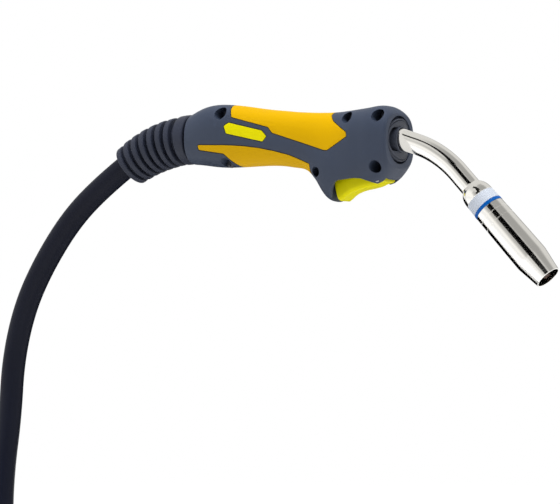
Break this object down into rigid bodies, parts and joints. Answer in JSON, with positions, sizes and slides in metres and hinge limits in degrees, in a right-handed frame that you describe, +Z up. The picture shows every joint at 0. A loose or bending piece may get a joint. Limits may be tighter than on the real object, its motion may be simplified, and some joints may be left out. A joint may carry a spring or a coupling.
{
  "type": "mig welding torch",
  "caption": "Gas-cooled MIG welding torch: two-shell handle with trigger, bent swan neck, gas nozzle, ribbed cable boot, coiled cable and central connector.",
  "frame": {"origin": "middle of the hand grip, in the plane that the two handle shells part in", "axes": "+X forward along the handle towards the nozzle end, +Z up, -Y the left side with the screw heads"},
  "size_m": [0.4481, 0.2586, 0.3809],
  "materials": {
    "badge": "satin lime yellow",
    "black": "matt black",
    "blue": "satin blue",
    "boot": "satin rubber",
    "brass": "turned",
    "cable": "satin jacket",
    "ceramic": "fired ceramic",
    "copper": "turned copper",
    "grip": "soft-touch amber",
    "insulation": "red insulation",
    "nickel": "polished nickel",
    "seat": "satin rubber",
    "shell": "fine matt, slate blue-grey",
    "sleeve": "satin pale grey",
    "steel": "zinc plated",
    "tie": "woven strap",
    "trigger": "satin lime yellow"
  },
  "bodies": {
    "torch": {"handle_shell_left": "shell", "handle_shell_right": "shell", "top_grip_left": "grip", "top_grip_right": "grip", "lower_grip_left": "grip", "lower_grip_right": "grip", "badge_left": "badge", "badge_right": "badge", "shell_screws": "steel", "neck_seat_ring": "seat", "trigger_pivot_pin": "steel", "trigger_spring": "steel", "microswitch_body": "black", "control_wires": "insulation", "swan_neck": "nickel", "neck_liner_tube": "ceramic", "wire_liner": "steel", "insulating_sleeve": "sleeve", "blue_ring": "blue", "tip_holder": "brass", "gas_diffuser": "ceramic", "contact_tip": "copper", "nozzle_spring": "steel", "neck_block": "brass", "neck_lock_nut": "brass", "cable_crimp": "copper", "cable_core": "copper", "cable_in_handle": "cable", "cable_boot": "boot", "power_cable": "cable", "cable_coil": "cable", "cable_tail": "cable", "coil_tie": "tie", "connector_boot": "boot", "connector_cable_end": "cable", "connector_shell_left": "black", "connector_shell_right": "black", "connector_screws": "steel", "connector_body": "brass", "connector_plug_pin": "brass", "connector_o_ring": "black"},
    "trigger": {"trigger": "trigger"},
    "plunger": {"microswitch_plunger": "insulation"},
    "gas_nozzle": {"gas_nozzle": "nickel"},
    "connector_nut": {"connector_nut": "black"},
    "control_pin_left": {"control_pin_left": "brass"},
    "control_pin_right": {"control_pin_right": "brass"}
  },
  "joints": [
    {"name": "trigger_pull", "type": "hinge", "parent": "torch", "child": "trigger", "pos_m": [0.0795, 0, -0.0304], "axis": [0, 1, 0], "range_deg": [0, 6], "stiffness_Nm_per_rad": 0.4, "springref_deg": -4.58, "deforming": ["trigger_spring"]},
    {"name": "plunger_press", "type": "slide", "parent": "torch", "child": "plunger", "axis": [0, 0, 1], "range_m": [0, 0.0015]},
    {"name": "nozzle_pull_off", "type": "slide", "parent": "torch", "child": "gas_nozzle", "axis": [0.6819, 0, -0.7314], "range_m": [0, 0.06]},
    {"name": "connector_nut_turn", "type": "hinge", "parent": "torch", "child": "connector_nut", "pos_m": [0.16, -0.1125, -0.3295], "axis": [1, 0, 0], "continuous": true},
    {"name": "control_pin_left_press", "type": "slide", "parent": "torch", "child": "control_pin_left", "axis": [-1, 0, 0], "range_m": [0, 0.0025], "stiffness_N_per_m": 400, "springref_m": -0.003},
    {"name": "control_pin_right_press", "type": "slide", "parent": "torch", "child": "control_pin_right", "axis": [-1, 0, 0], "range_m": [0, 0.0025], "stiffness_N_per_m": 400, "springref_m": -0.003}
  ],
  "couplings": [
    {"joint": "plunger_press", "follows": "trigger_pull", "m_per_rad": 0.0135}
  ]
}
